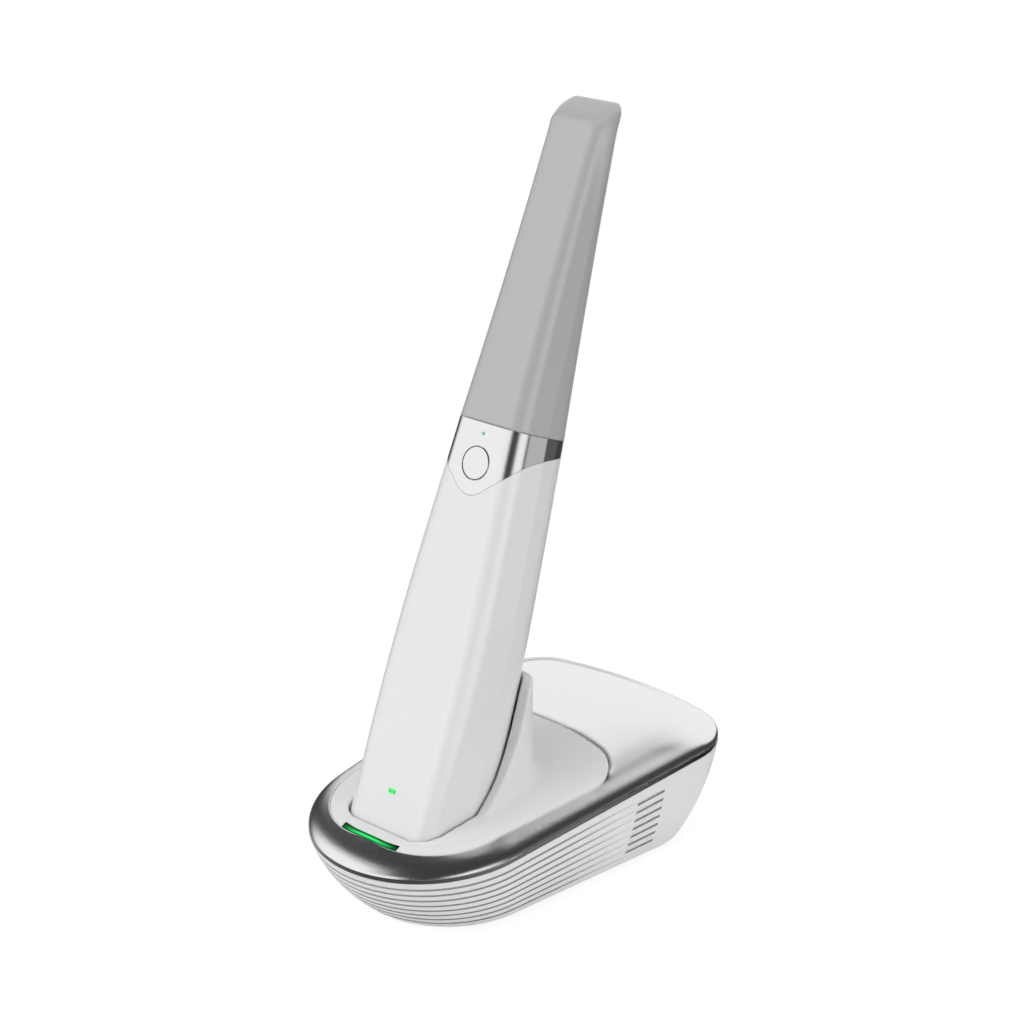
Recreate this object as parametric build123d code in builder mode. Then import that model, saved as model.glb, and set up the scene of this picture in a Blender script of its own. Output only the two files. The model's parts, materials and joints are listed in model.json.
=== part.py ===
from build123d import *
import os
from math import acos, atan2, cos, hypot, pi, radians, sin

# Intraoral scanner: a hand-held wand with a removable tip, standing in its charging cradle.
# Millimetres, +Z up, cradle nose towards -Y, origin on the table under the cradle's middle.

# Cradle driving dimensions
base_length = 160.0
base_width = 103.0
rim_front_height = 28.3
rim_rear_height = 39.5
nose_draw = 8.5
corner_radius = 22.0
rear_bulge = 2.8
rear_fullness = 0.93
housing_wall = 2.4
cover_wall = 2.2
insert_wall = 2.6
band_height = 1.7
band_recess = 0.25
plate_thickness = 2.4
plate_gap = 0.2
foot_height = 1.6
foot_radius = 6.5
foot_recess = 0.4
groove_count = 8
groove_width = 0.9
groove_depth = 0.5
groove_fade = 0.06
vent_count = 7
vent_length = 14.0
vent_width = 1.3
vent_rear_set = 52.5
seam_gap = 0.15
seam_front_set = 11.0
seam_side_set = 10.6
seam_length = 94.5
seam_nose_set = 13.0
seam_nose_flat = 5.5
seam_corner_radius = 16.0
light_bar_length = 25.6
light_bar_width = 2.3
light_bar_rise = 1.7
light_bar_gap = 0.1
light_board_width = 5.0
lip_front_set = 7.6
lip_length = 50.4
lip_half_width = 23.0
lip_rise = 7.7
lip_slope = 0.11
dish_rise = 6.5
dish_margin = 6.6
dish_drop = 5.2
board_thickness = 1.6
base_board_height = 12.0
base_board_width = 58.0
base_board_length = 67.0
base_board_rear_set = 10.0
base_sink_width = 34.0
base_sink_depth = 30.0
base_sink_height = 11.0
base_sink_floor = 2.0
base_sink_fins = 8
base_sink_slot = 2.4
boss_radius = 4.6
boss_height = 10.0
pillar_radius = 3.0
screw_radius = 1.25
screw_gap = 0.02
screw_head_radius = 2.4
screw_head_height = 1.5
screw_key = 1.1
screw_grip = 5.0
head_gap = 0.1
port_spread = 14.0
port_width = 9.0
port_height = 3.3
port_length = 11.0
port_depth = 7.0
port_skin = 0.35
port_tongue = 0.7
port_rear_set = 3.4
port_gap = 0.3
inlet_size = 10.0
inlet_radius = 3.2
inlet_rim = 1.0
inlet_pin_radius = 0.9
inlet_depth = 9.0
inlet_setback = 3.6

# Wand driving dimensions
wand_tilt = 21.85
light_front_set = 5.6
light_rise = 19.2
tail_length = 21.0
cap_length = 6.0
cap_spigot = 4.0
handle_length = 131.0
tip_length = 107.0
slope_length = 9.4
slope_front = 5.65
shell_wall = 2.0
collar_wall = 1.8
collar_drop = 25.1
collar_turn = 4.4
collar_gap = 0.15
tip_wall = 1.8
mirror_thickness = 1.2
mirror_gap = 0.3
window_length = 17.0
window_width = 17.0
window_corner = 2.5
window_set = 5.0
nose_gap = 0.5
nose_wall = 1.6
nose_length = 53.0
nose_flange = 5.0
nose_flange_gap = 0.3
nose_glass = 1.8
seal_set = 6.0
seal_width = 1.6
seal_depth = 0.8
seal_proud = 0.2
button_set = 14.0
button_radius = 5.75
button_gap = 0.3
button_travel = 0.6
button_thickness = 2.3
button_flange = 0.8
button_lap = 1.25
button_edge = 0.4
stem_radius = 1.6
stem_gap = 0.1
switch_size = 5.2
switch_height = 1.3
button_board_depth = 6.2
button_board_width = 13.0
button_board_thickness = 1.2
post_radius = 1.1
post_angle = 60.0
status_set = 3.6
status_radius = 0.6
status_recess = 0.1
tail_light_length = 3.2
tail_light_width = 1.6
main_board_depth = 7.4
main_board_width = 24.0
main_board_tail = -6.0
main_board_head_set = 27.0
board_boss_spread = 9.0
board_boss_radius = 2.6
board_screw_radius = 1.0
board_screw_head = 2.0
board_screw_key = 0.9
board_screw_height = 1.2
battery_depth = 13.5
battery_thickness = 17.0
battery_width = 21.0
battery_tail = 8.0
battery_length = 72.0
rib_width = 14.0
rib_thickness = 2.5
cap_screw_spread = 15.5
cap_screw_depth = 7.0
cap_boss_radius = 3.2
cap_boss_length = 11.0
cap_head_depth = 2.5
contact_radius = 1.6
contact_pitch = 4.8
contact_depth = 20.0
pin_radius = 1.0
pin_cover = 2.0
block_width = 24.0
block_depth = 10.0
block_height = 5.0
lens_radius = 5.0
lens_gap = 1.4
lens_depth = 15.6
lens_set = 15.4
camera_lens_length = 36.0
projector_lens_length = 30.0
frame_set = 4.0
frame_thickness = 3.0
frame_gap = 0.2
camera_board_width = 25.0
camera_board_depth = 16.0
sink_width = 20.0
sink_depth = 13.0
sink_length = 14.0
sink_floor = 2.5
sink_fins = 5
sink_slot = 2.2
socket_gap = 0.9
socket_wall = 2.8
socket_floor = 3.0
rest_depth = 29.8
rest_height = 48.5
rest_corner = 6.0
rest_half_width = 25.6
rest_front_radius = 5.0
rest_rear_radius = 19.0
fit_gap = 0.05

# Places that follow from the driving dimensions
half_length = base_length / 2
half_width = base_width / 2
nose_radius = half_width - nose_draw
reach = base_length
plate_top = foot_height + plate_thickness
board_top = base_board_height + board_thickness
vent_middle = half_length - vent_rear_set
seam_front = -half_length + seam_front_set
seam_rear = seam_front + seam_length
seam_half_width = half_width - seam_side_set
seam_nose_radius = nose_radius - seam_nose_set
light_bar_foot = rim_front_height + light_bar_rise
lip_front = seam_front + lip_front_set
lip_rear = lip_front + lip_length
lip_height = rim_front_height + lip_rise
base_board_rear = half_length - base_board_rear_set
base_board_front = base_board_rear - base_board_length
base_board_middle = (base_board_front + base_board_rear) / 2
port_rear = half_length - port_rear_set
tail_station = -tail_length
cap_station = tail_station + cap_length
seam_station = handle_length
slope_station = seam_station + tip_length
tip_end_station = slope_station + slope_length
window_station = slope_station - window_set
nose_station = seam_station + nose_length
button_station = seam_station - button_set
status_station = seam_station - status_set
lens_foot_station = seam_station - lens_set
frame_station = seam_station + frame_set
main_board_head = seam_station - main_board_head_set
main_board_back = main_board_depth + board_thickness
axis = Vector(0, sin(radians(wand_tilt)), cos(radians(wand_tilt)))
inward = Vector(0, cos(radians(wand_tilt)), -sin(radians(wand_tilt)))
wand_origin = Vector(0, lip_front + light_front_set, rim_front_height + light_rise)
side_plane = Plane(origin=wand_origin, x_dir=inward, z_dir=(1, 0, 0))
FLOOR = (Align.CENTER, Align.CENTER, Align.MIN)

# Wand sections: station, half width, front, rear and crease depth, then front, crease and rear radius
tail_section = (tail_station, 20.8, 0.0, 40.5, 21.0, 7.5, 5.0, 16.0)
light_section = (0.0, 21.2, 0.0, 40.5, 20.1, 7.5, 5.0, 16.0)
grip_section = (45.0, 21.2, 0.0, 38.2, 18.1, 7.5, 5.0, 16.0)
waist_section = (90.0, 19.2, 0.0, 35.4, 16.0, 7.5, 5.0, 15.0)
collar_section = (seam_station, 16.5, 0.3, 32.7, 14.3, 7.0, 5.0, 13.0)
neck_section = (seam_station + 49, 14.2, 2.75, 26.65, 14.6, 6.0, 5.0, 10.0)
slope_section = (slope_station, 13.25, slope_front, 17.95, 11.9, 4.9, 4.9, 5.6)
slope_low_section = (
    slope_station + 0.32 * slope_length, 12.95, slope_front + 0.28 * slope_length, 17.5, 12.8, 4.0, 4.0, 4.2)
slope_high_section = (
    slope_station + 0.69 * slope_length, 12.1, slope_front + 0.665 * slope_length, 17.0, 14.4, 2.3, 2.3, 2.4)
tip_end_section = (tip_end_station, 9.8, slope_front + 0.985 * slope_length, 16.4, 15.65, 0.7, 0.7, 0.7)
handle_sections = [tail_section, light_section, grip_section, waist_section, collar_section]
tip_sections = [collar_section, neck_section, slope_section]
slope_sections = [slope_section, slope_low_section, slope_high_section, tip_end_section]
front_draw = 0.9
rear_draw = 0.4


def rounded_belt(rounds):
    """Face inside the belt that runs round a ring of circles, each given as x, y and radius."""
    turns = []
    for (x0, y0, r0), (x1, y1, r1) in zip(rounds, rounds[1:] + rounds[:1]):
        span = hypot(x1 - x0, y1 - y0)
        turns.append(atan2(y1 - y0, x1 - x0) - acos((r0 - r1) / span))
    arcs = []
    for index, (x, y, r) in enumerate(rounds):
        start = turns[index - 1]
        sweep = (turns[index] - start) % (2 * pi)
        angles = [start + sweep * share for share in (0, 0.5, 1)]
        arcs.append([(x + r * cos(angle), y + r * sin(angle)) for angle in angles])
    with BuildLine() as belt:
        for arc, following in zip(arcs, arcs[1:] + arcs[:1]):
            ThreePointArc(*arc)
            Line(arc[2], following[0])
    make_face(belt.edges())


def mirrored(right):
    """Ring of circles with the right half given from front to rear."""
    return right + [(-x, y, r) for x, y, r in reversed(right)]


def station(distance):
    """Plane across the wand: x to the right, y inward from the front face."""
    return Plane(origin=wand_origin + axis * distance, x_dir=(1, 0, 0), z_dir=axis)


def front_plane(depth):
    """Plane along the wand, facing inward: y runs up the wand from the tail light."""
    return Plane(origin=wand_origin + inward * depth, x_dir=(-1, 0, 0), z_dir=inward)


def wand_point(distance, depth):
    """Place on the wand's middle plane as y and z."""
    spot = wand_origin + axis * distance + inward * depth
    return (spot.Y, spot.Z)


def section_between(first, second, distance):
    """Section part of the way from one station to the next."""
    share = (distance - first[0]) / (second[0] - first[0])
    return tuple(a + (b - a) * share for a, b in zip(first, second))


def wand_section(section, inset):
    """Cross-section of the wand, moved in from its surface by the inset."""
    distance, width, front, rear, crease, front_radius, crease_radius, rear_radius = section
    right = [
        (width - front_draw - front_radius, front + front_radius, front_radius - inset),
        (width - crease_radius, crease, crease_radius - inset),
        (width - rear_draw - rear_radius, rear - rear_radius, rear_radius - inset),
    ]
    with BuildSketch(station(distance)) as outline:
        rounded_belt(mirrored(right))
    return outline.sketch


def level_plane(front_height, rear_height):
    """Plane that rises from the cradle's nose to its rear."""
    slope = (rear_height - front_height) / base_length
    return Plane(origin=(0, 0, (front_height + rear_height) / 2), x_dir=(1, 0, 0), z_dir=(0, -slope, 1))


def egg_outline(front, rear, width, nose, corner, nose_flat=0.0):
    """Egg shaped plan outline: round nose, straight sides, rounded corners and a bulged rear."""
    corner_x = width - corner
    tangent_radius = corner + (corner_x ** 2 + rear_bulge ** 2) / (2 * rear_bulge)
    middle = corner + rear_fullness * (tangent_radius - corner)
    noses = [(nose_flat, front + nose, nose)]
    if nose_flat:
        noses.insert(0, (-nose_flat, front + nose, nose))
    rounded_belt(noses + [
        (corner_x, rear - corner - rear_bulge, corner),
        (0, rear - middle, middle),
        (-corner_x, rear - corner - rear_bulge, corner),
    ])


def housing_height(share):
    """Heights of the housing at its nose and rear, from the feet up to the band."""
    front = foot_height + (rim_front_height - band_height - foot_height) * share
    rear = foot_height + (rim_rear_height - band_height - foot_height) * share
    return front, rear


def housing_level(level, nose_inset, side_inset):
    """One outline of the lower housing: level 0 at the feet, 1 halfway up and 2 under the band."""
    nose_in = (18.2, 6.5, 0.0)[level] + nose_inset
    rear_in = (4.0, 1.0, 0.0)[level] + side_inset
    side_in = (8.5, 3.0, 0.0)[level] + side_inset
    nose = nose_radius - side_in - nose_inset + side_inset
    corner = corner_radius + (8.0, 3.0, 0.0)[level] - side_inset
    with BuildSketch(level_plane(*housing_height(level / 2))) as outline:
        egg_outline(-half_length + nose_in, half_length - rear_in, half_width - side_in, nose, corner)
    return outline.sketch


def rim_outline(front_height, rear_height, inset):
    """Outline of the cradle's widest edge at a height near the band."""
    with BuildSketch(level_plane(front_height, rear_height)) as outline:
        egg_outline(
            -half_length + inset, half_length - inset, half_width - inset,
            nose_radius - inset, corner_radius - inset,
        )
    return outline.sketch


# Crown of the cradle, from its rim up to the deck's flat top: how far each level lies in from the rim
# at the nose and at the sides, how far it rises at the nose and at the rear, and how far its corners
# close up
crown_levels = [
    (0.0, 0.0, 0.0, 0.0, 0.0),
    (1.1, 0.5, 1.6, 1.6, 0.2),
    (5.0, 3.3, 3.7, 3.4, 1.5),
    (11.0, 8.3, 5.6, 6.1, 4.0),
    (60.0, 19.9, 9.0, 8.1, 9.0),
    (100.0, 33.0, 10.5, 9.0, 13.0),
]
deck_edge = 3
crown_inward = (1.0, 1.0, 0.7, 0.35, 0.0, 0.0)
crown_drop = (0.0, 0.3, 0.8, 1.0, 1.0, 1.0)


def crown_level(level, inset):
    """One outline of the crown, moved in and down from its surface by the inset."""
    nose_in, side_in, front_rise, rear_rise, corner_in = crown_levels[level]
    inward_by = inset * crown_inward[level]
    drop = inset * crown_drop[level]
    nose = nose_radius - side_in - inward_by
    front_height = rim_front_height + front_rise - drop
    rear_height = rim_rear_height + rear_rise - drop
    with BuildSketch(level_plane(front_height, rear_height)) as outline:
        egg_outline(
            -half_length + nose_in + inward_by, half_length - side_in - inward_by,
            half_width - side_in - inward_by, nose, corner_radius - corner_in - inward_by,
        )
    return outline.sketch


def crown_form(inset):
    """Solid under the crown's surface, moved in and down by the inset."""
    with BuildPart() as form:
        loft([crown_level(level, inset) for level in range(deck_edge + 1)])
        loft([crown_level(level, inset) for level in range(deck_edge, len(crown_levels))])
    return form.part


def seam_outline(inset):
    """Plan outline of the insert that holds the wand."""
    with BuildSketch() as outline:
        egg_outline(
            seam_front + inset, seam_rear - inset, seam_half_width - inset,
            seam_nose_radius - inset, seam_corner_radius - inset, seam_nose_flat,
        )
    return outline.sketch


# Handle envelope, outside and inside
with BuildPart() as handle_outer:
    loft([wand_section(section, 0) for section in handle_sections])

with BuildPart() as handle_inner:
    loft([wand_section(section, shell_wall) for section in handle_sections])

with BuildPart() as collar_inner:
    loft([wand_section(section, collar_wall) for section in handle_sections])

# Edge of the chrome collar, as shares of its drop: a U across the front, by x, up to the turn of the
# corner, then a climb round the sides to the rear, by depth
collar_edge = [(0.0, 1.0), (4.9, 0.932), (8.0, 0.825), (12.1, 0.693), (15.8, 0.506), (19.0, 0.31)]
collar_climb = [(collar_turn, 0.506), (8.1, 0.418), (14.9, 0.319), (24.8, 0.235), (45.0, 0.2)]

with BuildPart() as collar_zone:
    with BuildSketch(front_plane(-shell_wall)):
        right_edge = [(x, seam_station - collar_drop * share) for x, share in collar_edge]
        left_edge = [(-x, s) for x, s in reversed(right_edge[1:])]
        with BuildLine():
            edge = Spline(*left_edge, *right_edge)
            Polyline(edge @ 1, (right_edge[-1][0], seam_station), (left_edge[0][0], seam_station), edge @ 0)
        make_face()
    extrude(amount=shell_wall + collar_turn)
    with BuildSketch(side_plane):
        climb_points = [(depth, seam_station - collar_drop * share) for depth, share in collar_climb]
        with BuildLine():
            climb = Spline(*climb_points)
            Polyline(climb @ 1, (climb_points[-1][0], seam_station), (climb_points[0][0], seam_station),
                     climb @ 0)
        make_face()
    extrude(amount=reach, both=True)

# The handle halves stop a hairline short of the collar's edge
collar_clearance = collar_zone.part.moved(Location(axis * -collar_gap))

# Everything in front of the side crease, where the two handle halves part
with BuildPart() as crease_zone:
    with BuildSketch(side_plane):
        crease_line = [(section[4], section[0]) for section in handle_sections]
        with BuildLine():
            Polyline((-5, tail_station), *crease_line, (-5, seam_station), close=True)
        make_face()
    extrude(amount=30, both=True)

# Tail end of the handle that the cap takes
with BuildPart(station(tail_station)) as tail_zone:
    with Locations((0, 20)):
        Box(60, 60, cap_station - tail_station, align=FLOOR)

boss_low_station = main_board_tail + 10
boss_high_station = main_board_head - 6
boss_stations = [boss_low_station, (boss_low_station + boss_high_station) / 2, boss_high_station]
board_boss_spots = [(side * board_boss_spread, s) for side in (-1, 1) for s in boss_stations]
cap_screw_spots = [(-cap_screw_spread, cap_screw_depth), (cap_screw_spread, cap_screw_depth)]
cap_boss_foot = cap_station + cap_spigot + fit_gap

with BuildPart() as front_shell:
    add(handle_outer.part)
    add(handle_inner.part, mode=Mode.SUBTRACT)
    with BuildSketch(front_plane(shell_wall / 2)):
        with Locations(board_boss_spots):
            Circle(board_boss_radius)
    extrude(amount=main_board_depth - shell_wall / 2)
    with BuildSketch(station(cap_boss_foot)):
        with Locations(cap_screw_spots):
            Circle(cap_boss_radius)
    extrude(amount=cap_boss_length)
    add(crease_zone.part, mode=Mode.INTERSECT)
    add(collar_zone.part, mode=Mode.SUBTRACT)
    add(collar_clearance, mode=Mode.SUBTRACT)
    add(tail_zone.part, mode=Mode.SUBTRACT)
    with BuildSketch(front_plane(shell_wall / 2)):
        with Locations(board_boss_spots):
            Circle(board_screw_radius + screw_gap)
    extrude(amount=main_board_depth, mode=Mode.SUBTRACT)
    with BuildSketch(station(cap_station)):
        with Locations(cap_screw_spots):
            Circle(screw_radius + screw_gap)
    extrude(amount=cap_boss_foot - cap_station + screw_grip + fit_gap, mode=Mode.SUBTRACT)
    with BuildSketch(front_plane(-shell_wall)):
        RectangleRounded(
            tail_light_length + 2 * fit_gap, tail_light_width + 2 * fit_gap, tail_light_width / 3)
    extrude(amount=3 * shell_wall, mode=Mode.SUBTRACT)

rib_stations = [battery_tail + rib_width, battery_tail + battery_length - rib_width]

with BuildPart() as battery_ribs:
    add(handle_inner.part)
    with BuildSketch(front_plane(battery_depth + battery_thickness)):
        with Locations([(0, s) for s in rib_stations]):
            Rectangle(rib_width, rib_thickness)
    extrude(amount=reach, mode=Mode.INTERSECT)

with BuildPart() as rear_shell:
    add(handle_outer.part)
    add(handle_inner.part, mode=Mode.SUBTRACT)
    add(battery_ribs.part)
    add(crease_zone.part, mode=Mode.SUBTRACT)
    add(collar_zone.part, mode=Mode.SUBTRACT)
    add(collar_clearance, mode=Mode.SUBTRACT)
    add(tail_zone.part, mode=Mode.SUBTRACT)

button_flange_radius = button_radius + button_lap
post_reach = button_flange_radius + post_radius + button_gap
post_angles = [radians(angle) for angle in (post_angle, 180 - post_angle, 180 + post_angle, -post_angle)]
post_spots = [(post_reach * cos(angle), button_station + post_reach * sin(angle)) for angle in post_angles]

with BuildPart() as button_collar:
    add(handle_outer.part)
    add(collar_inner.part, mode=Mode.SUBTRACT)
    add(collar_zone.part, mode=Mode.INTERSECT)
    with BuildSketch(front_plane(collar_wall / 2)):
        with Locations(post_spots):
            Circle(post_radius)
    extrude(amount=button_board_depth - collar_wall / 2)
    with BuildSketch(front_plane(-collar_wall)):
        with Locations((0, button_station)):
            Circle(button_radius + button_gap)
        with Locations((0, status_station)):
            Circle(status_radius + fit_gap)
    extrude(amount=3 * collar_wall, mode=Mode.SUBTRACT)

switch_top = button_board_depth - switch_height
stem_foot = switch_top - button_travel - stem_gap

with BuildPart() as button_cap:
    with BuildSketch(front_plane(0)):
        with Locations((0, button_station)):
            Circle(button_radius)
    extrude(amount=button_thickness)
    fillet(button_cap.faces().sort_by(Axis((0, 0, 0), inward))[0].edges(), button_edge)
    with BuildSketch(front_plane(button_thickness)):
        with Locations((0, button_station)):
            Circle(button_flange_radius)
    extrude(amount=button_flange)
    with BuildSketch(front_plane(button_thickness + button_flange)):
        with Locations((0, button_station)):
            Circle(stem_radius)
    extrude(amount=stem_foot - button_thickness - button_flange)

switch_body = 0.7 * switch_height

with BuildPart() as button_switch:
    with BuildSketch(front_plane(switch_top)):
        with Locations((0, button_station)):
            Circle(switch_size / 3)
    extrude(amount=switch_height)
    with BuildSketch(front_plane(button_board_depth - switch_body)):
        with Locations((0, button_station)):
            RectangleRounded(switch_size, switch_size, switch_size / 9)
    extrude(amount=switch_body)

button_board_tail = button_station - post_reach - post_radius
button_board_head = status_station + 2 * status_radius

with BuildPart() as button_board:
    with BuildSketch(front_plane(button_board_depth)):
        with Locations((0, (button_board_tail + button_board_head) / 2)):
            RectangleRounded(button_board_width, button_board_head - button_board_tail, post_radius)
    extrude(amount=button_board_thickness)

with BuildPart() as status_light:
    with BuildSketch(front_plane(status_recess)):
        with Locations((0, status_station)):
            Circle(status_radius)
    extrude(amount=button_board_depth - status_recess)

with BuildPart() as tail_light:
    with BuildSketch(front_plane(0)):
        RectangleRounded(tail_light_length, tail_light_width, tail_light_width / 3)
    extrude(amount=main_board_depth)

with BuildPart() as main_board:
    with BuildSketch(front_plane(main_board_depth)):
        with Locations((0, (main_board_head + main_board_tail) / 2)):
            RectangleRounded(main_board_width, main_board_head - main_board_tail, board_screw_head)
        with Locations(board_boss_spots):
            Circle(board_screw_radius + screw_gap, mode=Mode.SUBTRACT)
    extrude(amount=board_thickness)

with BuildPart() as board_screws:
    with BuildSketch(front_plane(main_board_back)):
        with Locations(board_boss_spots):
            Circle(board_screw_radius)
    extrude(amount=shell_wall + board_screw_radius / 2 - main_board_back)
    with BuildSketch(front_plane(main_board_back)):
        with Locations(board_boss_spots):
            Circle(board_screw_head)
            RegularPolygon(board_screw_key, 6, mode=Mode.SUBTRACT)
    extrude(amount=board_screw_height)

module_station = main_board_head - 30
motor_station = main_board_head - 13
motor_radius = 5.0
motor_height = 3.2
module_size = (14.0, 18.0, 2.4)
battery_plug = (9.0, 5.0)

with BuildPart() as wireless_module:
    with BuildSketch(front_plane(main_board_back)):
        with Locations((0, module_station)):
            Rectangle(module_size[0], module_size[1])
    extrude(amount=module_size[2])

with BuildPart() as vibration_motor:
    with BuildSketch(front_plane(main_board_back)):
        with Locations((0, motor_station)):
            Circle(motor_radius)
    extrude(amount=motor_height)

with BuildPart() as battery_pack:
    with BuildSketch(front_plane(battery_depth)):
        with Locations((0, battery_tail + battery_length / 2)):
            RectangleRounded(battery_width, battery_length, battery_width / 7)
    extrude(amount=battery_thickness)
    fillet(battery_pack.edges(), battery_width / 20)
    with BuildSketch(front_plane(main_board_back)):
        with Locations((0, battery_tail + battery_plug[1])):
            Rectangle(*battery_plug)
    extrude(amount=battery_depth - main_board_back)

with BuildPart() as tail_cap:
    add(handle_outer.part)
    add(tail_zone.part, mode=Mode.INTERSECT)
    spigot_section = section_between(tail_section, light_section, cap_station)
    extrude(wand_section(spigot_section, shell_wall + 2 * fit_gap), amount=cap_spigot, dir=axis)
    contact_spots = [(contact_pitch * (index - 1.5), contact_depth) for index in range(4)]
    with BuildSketch(station(tail_station)):
        with Locations(contact_spots):
            Circle(contact_radius + screw_gap)
        with Locations(cap_screw_spots):
            Circle(screw_radius + screw_gap)
    extrude(amount=cap_station + cap_spigot - tail_station, mode=Mode.SUBTRACT)
    with BuildSketch(station(tail_station)):
        with Locations(cap_screw_spots):
            Circle(screw_head_radius + head_gap)
    extrude(amount=cap_head_depth, mode=Mode.SUBTRACT)

with BuildPart() as tail_contacts:
    with BuildSketch(station(tail_station)):
        with Locations(contact_spots):
            Circle(contact_radius)
    extrude(amount=cap_station + cap_spigot - tail_station)

with BuildPart() as tail_screws:
    with BuildSketch(station(tail_station + cap_head_depth - screw_head_height)):
        with Locations(cap_screw_spots):
            Circle(screw_head_radius)
            RegularPolygon(screw_key, 6, mode=Mode.SUBTRACT)
    extrude(amount=screw_head_height)
    with BuildSketch(station(tail_station + cap_head_depth)):
        with Locations(cap_screw_spots):
            Circle(screw_radius)
    extrude(amount=cap_boss_foot + screw_grip - tail_station - cap_head_depth)

# Optical nose inside the tip, cut from the same form as the tip's bore
bore_end_section = section_between(neck_section, slope_section, tip_end_station)
bore_sections = [collar_section, neck_section, slope_section, bore_end_section]
nose_inset = tip_wall + nose_gap
flange_section = section_between(waist_section, collar_section, seam_station - nose_flange)


def bore_slice(inset, low, high):
    """Solid that fills the tip's bore between two stations, moved in from the sleeve by the inset."""
    with BuildPart() as filling:
        loft([wand_section(section, inset) for section in bore_sections])
        with BuildSketch(station(low)):
            Rectangle(reach, reach)
        extrude(amount=high - low, mode=Mode.INTERSECT)
    return filling.part


with BuildPart() as nose_seal:
    seal_station = seam_station + seal_set
    add(bore_slice(nose_inset - seal_proud, seal_station, seal_station + seal_width))
    add(bore_slice(nose_inset + seal_depth, seal_station, seal_station + seal_width), mode=Mode.SUBTRACT)

with BuildPart() as nose_barrel:
    add(bore_slice(nose_inset, seam_station, nose_station))
    flange_inset = collar_wall + nose_flange_gap
    loft([wand_section(section, flange_inset) for section in (flange_section, collar_section)])
    add(bore_slice(nose_inset + nose_wall, seam_station, nose_station), mode=Mode.SUBTRACT)
    loft([wand_section(section, nose_inset + nose_wall) for section in (flange_section, collar_section)],
         mode=Mode.SUBTRACT)
    add(nose_seal.part, mode=Mode.SUBTRACT)
    with BuildSketch(front_plane(0)):
        with Locations((0, status_station)):
            Circle(status_radius + 2 * fit_gap)
    extrude(amount=button_board_depth, mode=Mode.SUBTRACT)

with BuildPart() as nose_window:
    add(bore_slice(nose_inset + nose_wall + fit_gap, nose_station - nose_glass, nose_station))

lens_spread = lens_radius + lens_gap / 2
lens_spots = [(lens_spread, lens_depth), (-lens_spread, lens_depth)]

with BuildPart() as optics_frame:
    add(bore_slice(nose_inset + nose_wall + frame_gap, frame_station - frame_thickness, frame_station))
    with BuildSketch(station(frame_station - frame_thickness)):
        with Locations(lens_spots):
            Circle(lens_radius + screw_gap)
    extrude(amount=frame_thickness, mode=Mode.SUBTRACT)

lens_mouth = 2.0
camera_glass_radius = 0.76 * lens_radius
projector_glass_radius = 0.68 * lens_radius

with BuildPart(station(lens_foot_station)) as camera_lens:
    with Locations(lens_spots[0]):
        Cylinder(lens_radius, camera_lens_length, align=FLOOR)
    with Locations((*lens_spots[0], camera_lens_length - lens_mouth)):
        Cylinder(camera_glass_radius, lens_mouth, align=FLOOR, mode=Mode.SUBTRACT)

with BuildPart(station(lens_foot_station)) as projector_lens:
    with Locations(lens_spots[1]):
        Cylinder(lens_radius, projector_lens_length, align=FLOOR)
    with Locations((*lens_spots[1], projector_lens_length - lens_mouth)):
        Cylinder(projector_glass_radius, lens_mouth, align=FLOOR, mode=Mode.SUBTRACT)

with BuildPart(station(lens_foot_station - board_thickness)) as camera_board:
    with Locations((0, lens_depth)):
        Box(camera_board_width, camera_board_depth, board_thickness, align=FLOOR)

with BuildPart(station(lens_foot_station - board_thickness - sink_length)) as optics_sink:
    with Locations((0, lens_depth)):
        Box(sink_width, sink_depth, sink_length, align=FLOOR)
        with GridLocations(sink_width / sink_fins, 0, sink_fins - 1, 1):
            Box(sink_slot, sink_depth, sink_length - sink_floor, align=FLOOR, mode=Mode.SUBTRACT)

# Removable tip: a sleeve that ends in the mirror slope, open at its foot and at the scan window
slope_reach = 40.0
slope_wall = tip_wall * 2 ** 0.5
mirror_drop = mirror_thickness * 2 ** 0.5


def beyond_slope(drop):
    """Solid of all that lies beyond the mirror slope, lowered by the drop along the wand."""
    low = (slope_front - slope_reach, slope_station - slope_reach - drop)
    high = (slope_front + slope_reach, slope_station + slope_reach - drop)
    with BuildPart() as beyond:
        with BuildSketch(side_plane):
            with BuildLine():
                Polyline(low, high, (low[0], high[1]), close=True)
            make_face()
        extrude(amount=slope_reach, both=True)
    return beyond.part


with BuildPart() as tip_space:
    loft([wand_section(section, tip_wall) for section in bore_sections])
    add(beyond_slope(slope_wall), mode=Mode.SUBTRACT)

with BuildPart() as tip_sleeve:
    loft([wand_section(section, 0) for section in tip_sections])
    loft([wand_section(section, 0) for section in slope_sections])
    add(tip_space.part, mode=Mode.SUBTRACT)
    with BuildSketch(front_plane(slope_section[3] - 2 * tip_wall)):
        with Locations((0, window_station)):
            RectangleRounded(window_width, window_length, window_corner)
    extrude(amount=slope_reach, mode=Mode.SUBTRACT)

with BuildPart() as tip_mirror:
    loft([wand_section(section, tip_wall + mirror_gap) for section in bore_sections])
    add(beyond_slope(slope_wall), mode=Mode.SUBTRACT)
    add(beyond_slope(slope_wall + mirror_drop), mode=Mode.INTERSECT)

# Cradle: the lower housing with its grooves, vents and bosses
def paired(x, y):
    """The same spot on both sides of the middle plane."""
    return [(-x, y), (x, y)]


plate_screw_spots = paired(nose_radius - 14.1, 50 - half_length) + paired(half_width - 14.4, half_length - 35)
port_middle = board_top + port_height / 2
inlet_middle = board_top + inlet_size / 2
inlet_rim_radius = inlet_radius + inlet_rim

with BuildPart() as hull:
    loft([housing_level(level, 0, 0) for level in range(3)])

with BuildPart() as groove_core:
    loft([housing_level(level, groove_depth, -groove_fade) for level in range(3)])

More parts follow.
